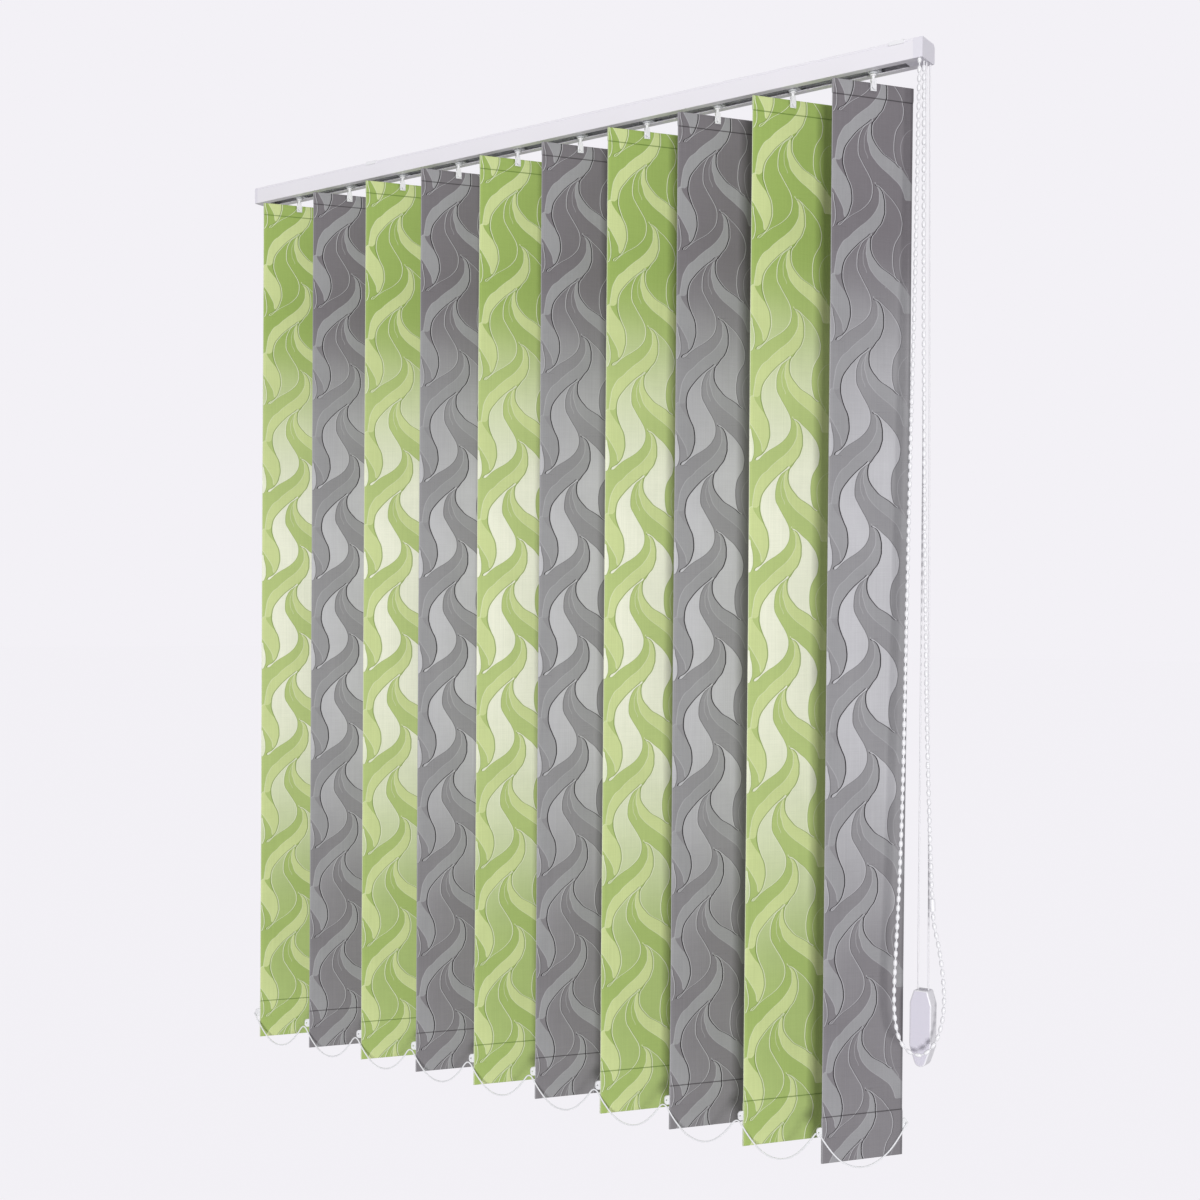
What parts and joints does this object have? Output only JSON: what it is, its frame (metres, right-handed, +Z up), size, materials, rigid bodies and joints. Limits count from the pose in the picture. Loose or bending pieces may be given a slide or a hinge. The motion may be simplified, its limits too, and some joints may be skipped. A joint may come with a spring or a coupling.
{
  "type": "vertical blind",
  "caption": "Vertical blind: white headrail with ceiling clips, green and grey fabric slats on sliding carriers, bead chain for tilt, draw cord with weight, chains along the hem.",
  "frame": {"origin": "on the ceiling face, midway between the two bracket screw holes", "axes": "+X along the headrail towards the controls, +Y from the room to the window, +Z up"},
  "size_m": [1.2431, 0.1278, 1.4969],
  "materials": {
    "rail_white": "satin",
    "white_plastic": "satin",
    "steel": "bright",
    "rod": "satin",
    "fabric_green": "woven jacquard",
    "fabric_grey": "woven jacquard",
    "cord_white": "braided",
    "bead_white": "gloss"
  },
  "bodies": {
    "headrail_set": {"headrail": "rail_white", "ceiling_brackets": "steel", "end_cap_return": "white_plastic", "end_cap_control": "white_plastic", "draw_cord": "cord_white", "bead_chain": "bead_white", "chain_connector": "bead_white", "cord_weight": "white_plastic", "carrier_10": "white_plastic"},
    "carrier_01": {"carrier_01": "white_plastic"},
    "carrier_02": {"carrier_02": "white_plastic"},
    "carrier_03": {"carrier_03": "white_plastic"},
    "carrier_04": {"carrier_04": "white_plastic"},
    "carrier_05": {"carrier_05": "white_plastic"},
    "carrier_06": {"carrier_06": "white_plastic"},
    "carrier_07": {"carrier_07": "white_plastic"},
    "carrier_08": {"carrier_08": "white_plastic"},
    "carrier_09": {"carrier_09": "white_plastic"},
    "slat_01": {"hook_01": "white_plastic", "slat_01": "fabric_green", "plates_01": "white_plastic"},
    "slat_02": {"hook_02": "white_plastic", "slat_02": "fabric_grey", "plates_02": "white_plastic"},
    "slat_03": {"hook_03": "white_plastic", "slat_03": "fabric_green", "plates_03": "white_plastic"},
    "slat_04": {"hook_04": "white_plastic", "slat_04": "fabric_grey", "plates_04": "white_plastic"},
    "slat_05": {"hook_05": "white_plastic", "slat_05": "fabric_green", "plates_05": "white_plastic"},
    "slat_06": {"hook_06": "white_plastic", "slat_06": "fabric_grey", "plates_06": "white_plastic"},
    "slat_07": {"hook_07": "white_plastic", "slat_07": "fabric_green", "plates_07": "white_plastic"},
    "slat_08": {"hook_08": "white_plastic", "slat_08": "fabric_grey", "plates_08": "white_plastic"},
    "slat_09": {"hook_09": "white_plastic", "slat_09": "fabric_green", "plates_09": "white_plastic"},
    "slat_10": {"hook_10": "white_plastic", "slat_10": "fabric_grey", "plates_10": "white_plastic", "tail_chain": "bead_white"},
    "tilt_drive": {"tilt_rod": "rod", "chain_sprocket": "white_plastic"},
    "return_pulley": {"return_pulley": "white_plastic"},
    "cord_pulley_front": {"cord_pulley_front": "white_plastic"},
    "cord_pulley_rear": {"cord_pulley_rear": "white_plastic"},
    "weight_wheel": {"weight_wheel": "white_plastic"},
    "front_chain": {"front_chain": "bead_white"},
    "rear_chain": {"rear_chain": "bead_white"}
  },
  "joints": [
    {"name": "traverse_01", "type": "slide", "parent": "headrail_set", "child": "carrier_01", "axis": [1, 0, 0], "range_m": [0, 0.8586], "deforming": ["front_chain", "rear_chain"]},
    {"name": "traverse_02", "type": "slide", "parent": "headrail_set", "child": "carrier_02", "axis": [1, 0, 0], "range_m": [0, 0.7632]},
    {"name": "traverse_03", "type": "slide", "parent": "headrail_set", "child": "carrier_03", "axis": [1, 0, 0], "range_m": [0, 0.6678]},
    {"name": "traverse_04", "type": "slide", "parent": "headrail_set", "child": "carrier_04", "axis": [1, 0, 0], "range_m": [0, 0.5724]},
    {"name": "traverse_05", "type": "slide", "parent": "headrail_set", "child": "carrier_05", "axis": [1, 0, 0], "range_m": [0, 0.477]},
    {"name": "traverse_06", "type": "slide", "parent": "headrail_set", "child": "carrier_06", "axis": [1, 0, 0], "range_m": [0, 0.3816]},
    {"name": "traverse_07", "type": "slide", "parent": "headrail_set", "child": "carrier_07", "axis": [1, 0, 0], "range_m": [0, 0.2862]},
    {"name": "traverse_08", "type": "slide", "parent": "headrail_set", "child": "carrier_08", "axis": [1, 0, 0], "range_m": [0, 0.1908]},
    {"name": "traverse_09", "type": "slide", "parent": "headrail_set", "child": "carrier_09", "axis": [1, 0, 0], "range_m": [0, 0.0954]},
    {"name": "tilt_10", "type": "hinge", "parent": "headrail_set", "child": "slat_10", "pos_m": [0.409, 0, -0.01445], "axis": [0, 0, 1], "range_deg": [-47.7, 112.3]},
    {"name": "tilt_09", "type": "hinge", "parent": "carrier_09", "child": "slat_09", "pos_m": [0.2936, 0, -0.01445], "axis": [0, 0, 1], "range_deg": [-47.7, 112.3]},
    {"name": "tilt_08", "type": "hinge", "parent": "carrier_08", "child": "slat_08", "pos_m": [0.1782, 0, -0.01445], "axis": [0, 0, 1], "range_deg": [-47.7, 112.3]},
    {"name": "tilt_07", "type": "hinge", "parent": "carrier_07", "child": "slat_07", "pos_m": [0.0628, 0, -0.01445], "axis": [0, 0, 1], "range_deg": [-47.7, 112.3]},
    {"name": "tilt_06", "type": "hinge", "parent": "carrier_06", "child": "slat_06", "pos_m": [-0.0526, 0, -0.01445], "axis": [0, 0, 1], "range_deg": [-47.7, 112.3]},
    {"name": "tilt_05", "type": "hinge", "parent": "carrier_05", "child": "slat_05", "pos_m": [-0.168, 0, -0.01445], "axis": [0, 0, 1], "range_deg": [-47.7, 112.3]},
    {"name": "tilt_04", "type": "hinge", "parent": "carrier_04", "child": "slat_04", "pos_m": [-0.2834, 0, -0.01445], "axis": [0, 0, 1], "range_deg": [-47.7, 112.3]},
    {"name": "tilt_03", "type": "hinge", "parent": "carrier_03", "child": "slat_03", "pos_m": [-0.3988, 0, -0.01445], "axis": [0, 0, 1], "range_deg": [-47.7, 112.3]},
    {"name": "tilt_02", "type": "hinge", "parent": "carrier_02", "child": "slat_02", "pos_m": [-0.5142, 0, -0.01445], "axis": [0, 0, 1], "range_deg": [-47.7, 112.3]},
    {"name": "tilt_01", "type": "hinge", "parent": "carrier_01", "child": "slat_01", "pos_m": [-0.6296, 0, -0.01445], "axis": [0, 0, 1], "range_deg": [-47.7, 112.3]},
    {"name": "rod_turn", "type": "hinge", "parent": "headrail_set", "child": "tilt_drive", "pos_m": [0, -0.0095, -0.01445], "axis": [1, 0, 0], "range_deg": [-286.7, 674.3]},
    {"name": "front_chain_clip", "type": "hinge", "parent": "slat_10", "child": "front_chain", "pos_m": [0.37079, -0.06044, -1.4429], "axis": [0, 0, 1], "range_deg": [-112.4, 47.8]},
    {"name": "rear_chain_clip", "type": "hinge", "parent": "slat_10", "child": "rear_chain", "pos_m": [0.44721, 0.06044, -1.4429], "axis": [0, 0, 1], "range_deg": [-112.4, 47.8]},
    {"name": "return_pulley_turn", "type": "hinge", "parent": "headrail_set", "child": "return_pulley", "pos_m": [-0.703, 0.01, -0.008], "axis": [0, 0, 1], "continuous": true},
    {"name": "front_pulley_turn", "type": "hinge", "parent": "headrail_set", "child": "cord_pulley_front", "pos_m": [0.474, 0.004, -0.014], "axis": [0, 1, 0], "continuous": true},
    {"name": "rear_pulley_turn", "type": "hinge", "parent": "headrail_set", "child": "cord_pulley_rear", "pos_m": [0.474, 0.016, -0.014], "axis": [0, 1, 0], "continuous": true},
    {"name": "weight_wheel_turn", "type": "hinge", "parent": "headrail_set", "child": "weight_wheel", "pos_m": [0.4872, 0.01, -1.276], "axis": [0, 1, 0], "continuous": true}
  ],
  "couplings": [
    {"joint": "traverse_02", "follows": "traverse_01", "ratio": 0.88889},
    {"joint": "traverse_03", "follows": "traverse_01", "ratio": 0.77778},
    {"joint": "traverse_04", "follows": "traverse_01", "ratio": 0.66667},
    {"joint": "traverse_05", "follows": "traverse_01", "ratio": 0.55556},
    {"joint": "traverse_06", "follows": "traverse_01", "ratio": 0.44444},
    {"joint": "traverse_07", "follows": "traverse_01", "ratio": 0.33333},
    {"joint": "traverse_08", "follows": "traverse_01", "ratio": 0.22222},
    {"joint": "traverse_09", "follows": "traverse_01", "ratio": 0.11111},
    {"joint": "tilt_09", "follows": "tilt_10", "ratio": 1},
    {"joint": "tilt_08", "follows": "tilt_10", "ratio": 1},
    {"joint": "tilt_07", "follows": "tilt_10", "ratio": 1},
    {"joint": "tilt_06", "follows": "tilt_10", "ratio": 1},
    {"joint": "tilt_05", "follows": "tilt_10", "ratio": 1},
    {"joint": "tilt_04", "follows": "tilt_10", "ratio": 1},
    {"joint": "tilt_03", "follows": "tilt_10", "ratio": 1},
    {"joint": "tilt_02", "follows": "tilt_10", "ratio": 1},
    {"joint": "tilt_01", "follows": "tilt_10", "ratio": 1},
    {"joint": "rod_turn", "follows": "tilt_10", "ratio": 6},
    {"joint": "front_chain_clip", "follows": "tilt_10", "ratio": -1},
    {"joint": "rear_chain_clip", "follows": "tilt_10", "ratio": -1},
    {"joint": "return_pulley_turn", "follows": "traverse_01", "rad_per_m": -166.67},
    {"joint": "front_pulley_turn", "follows": "traverse_01", "rad_per_m": -166.67},
    {"joint": "rear_pulley_turn", "follows": "traverse_01", "rad_per_m": 166.67},
    {"joint": "weight_wheel_turn", "follows": "traverse_01", "rad_per_m": 138.89}
  ]
}
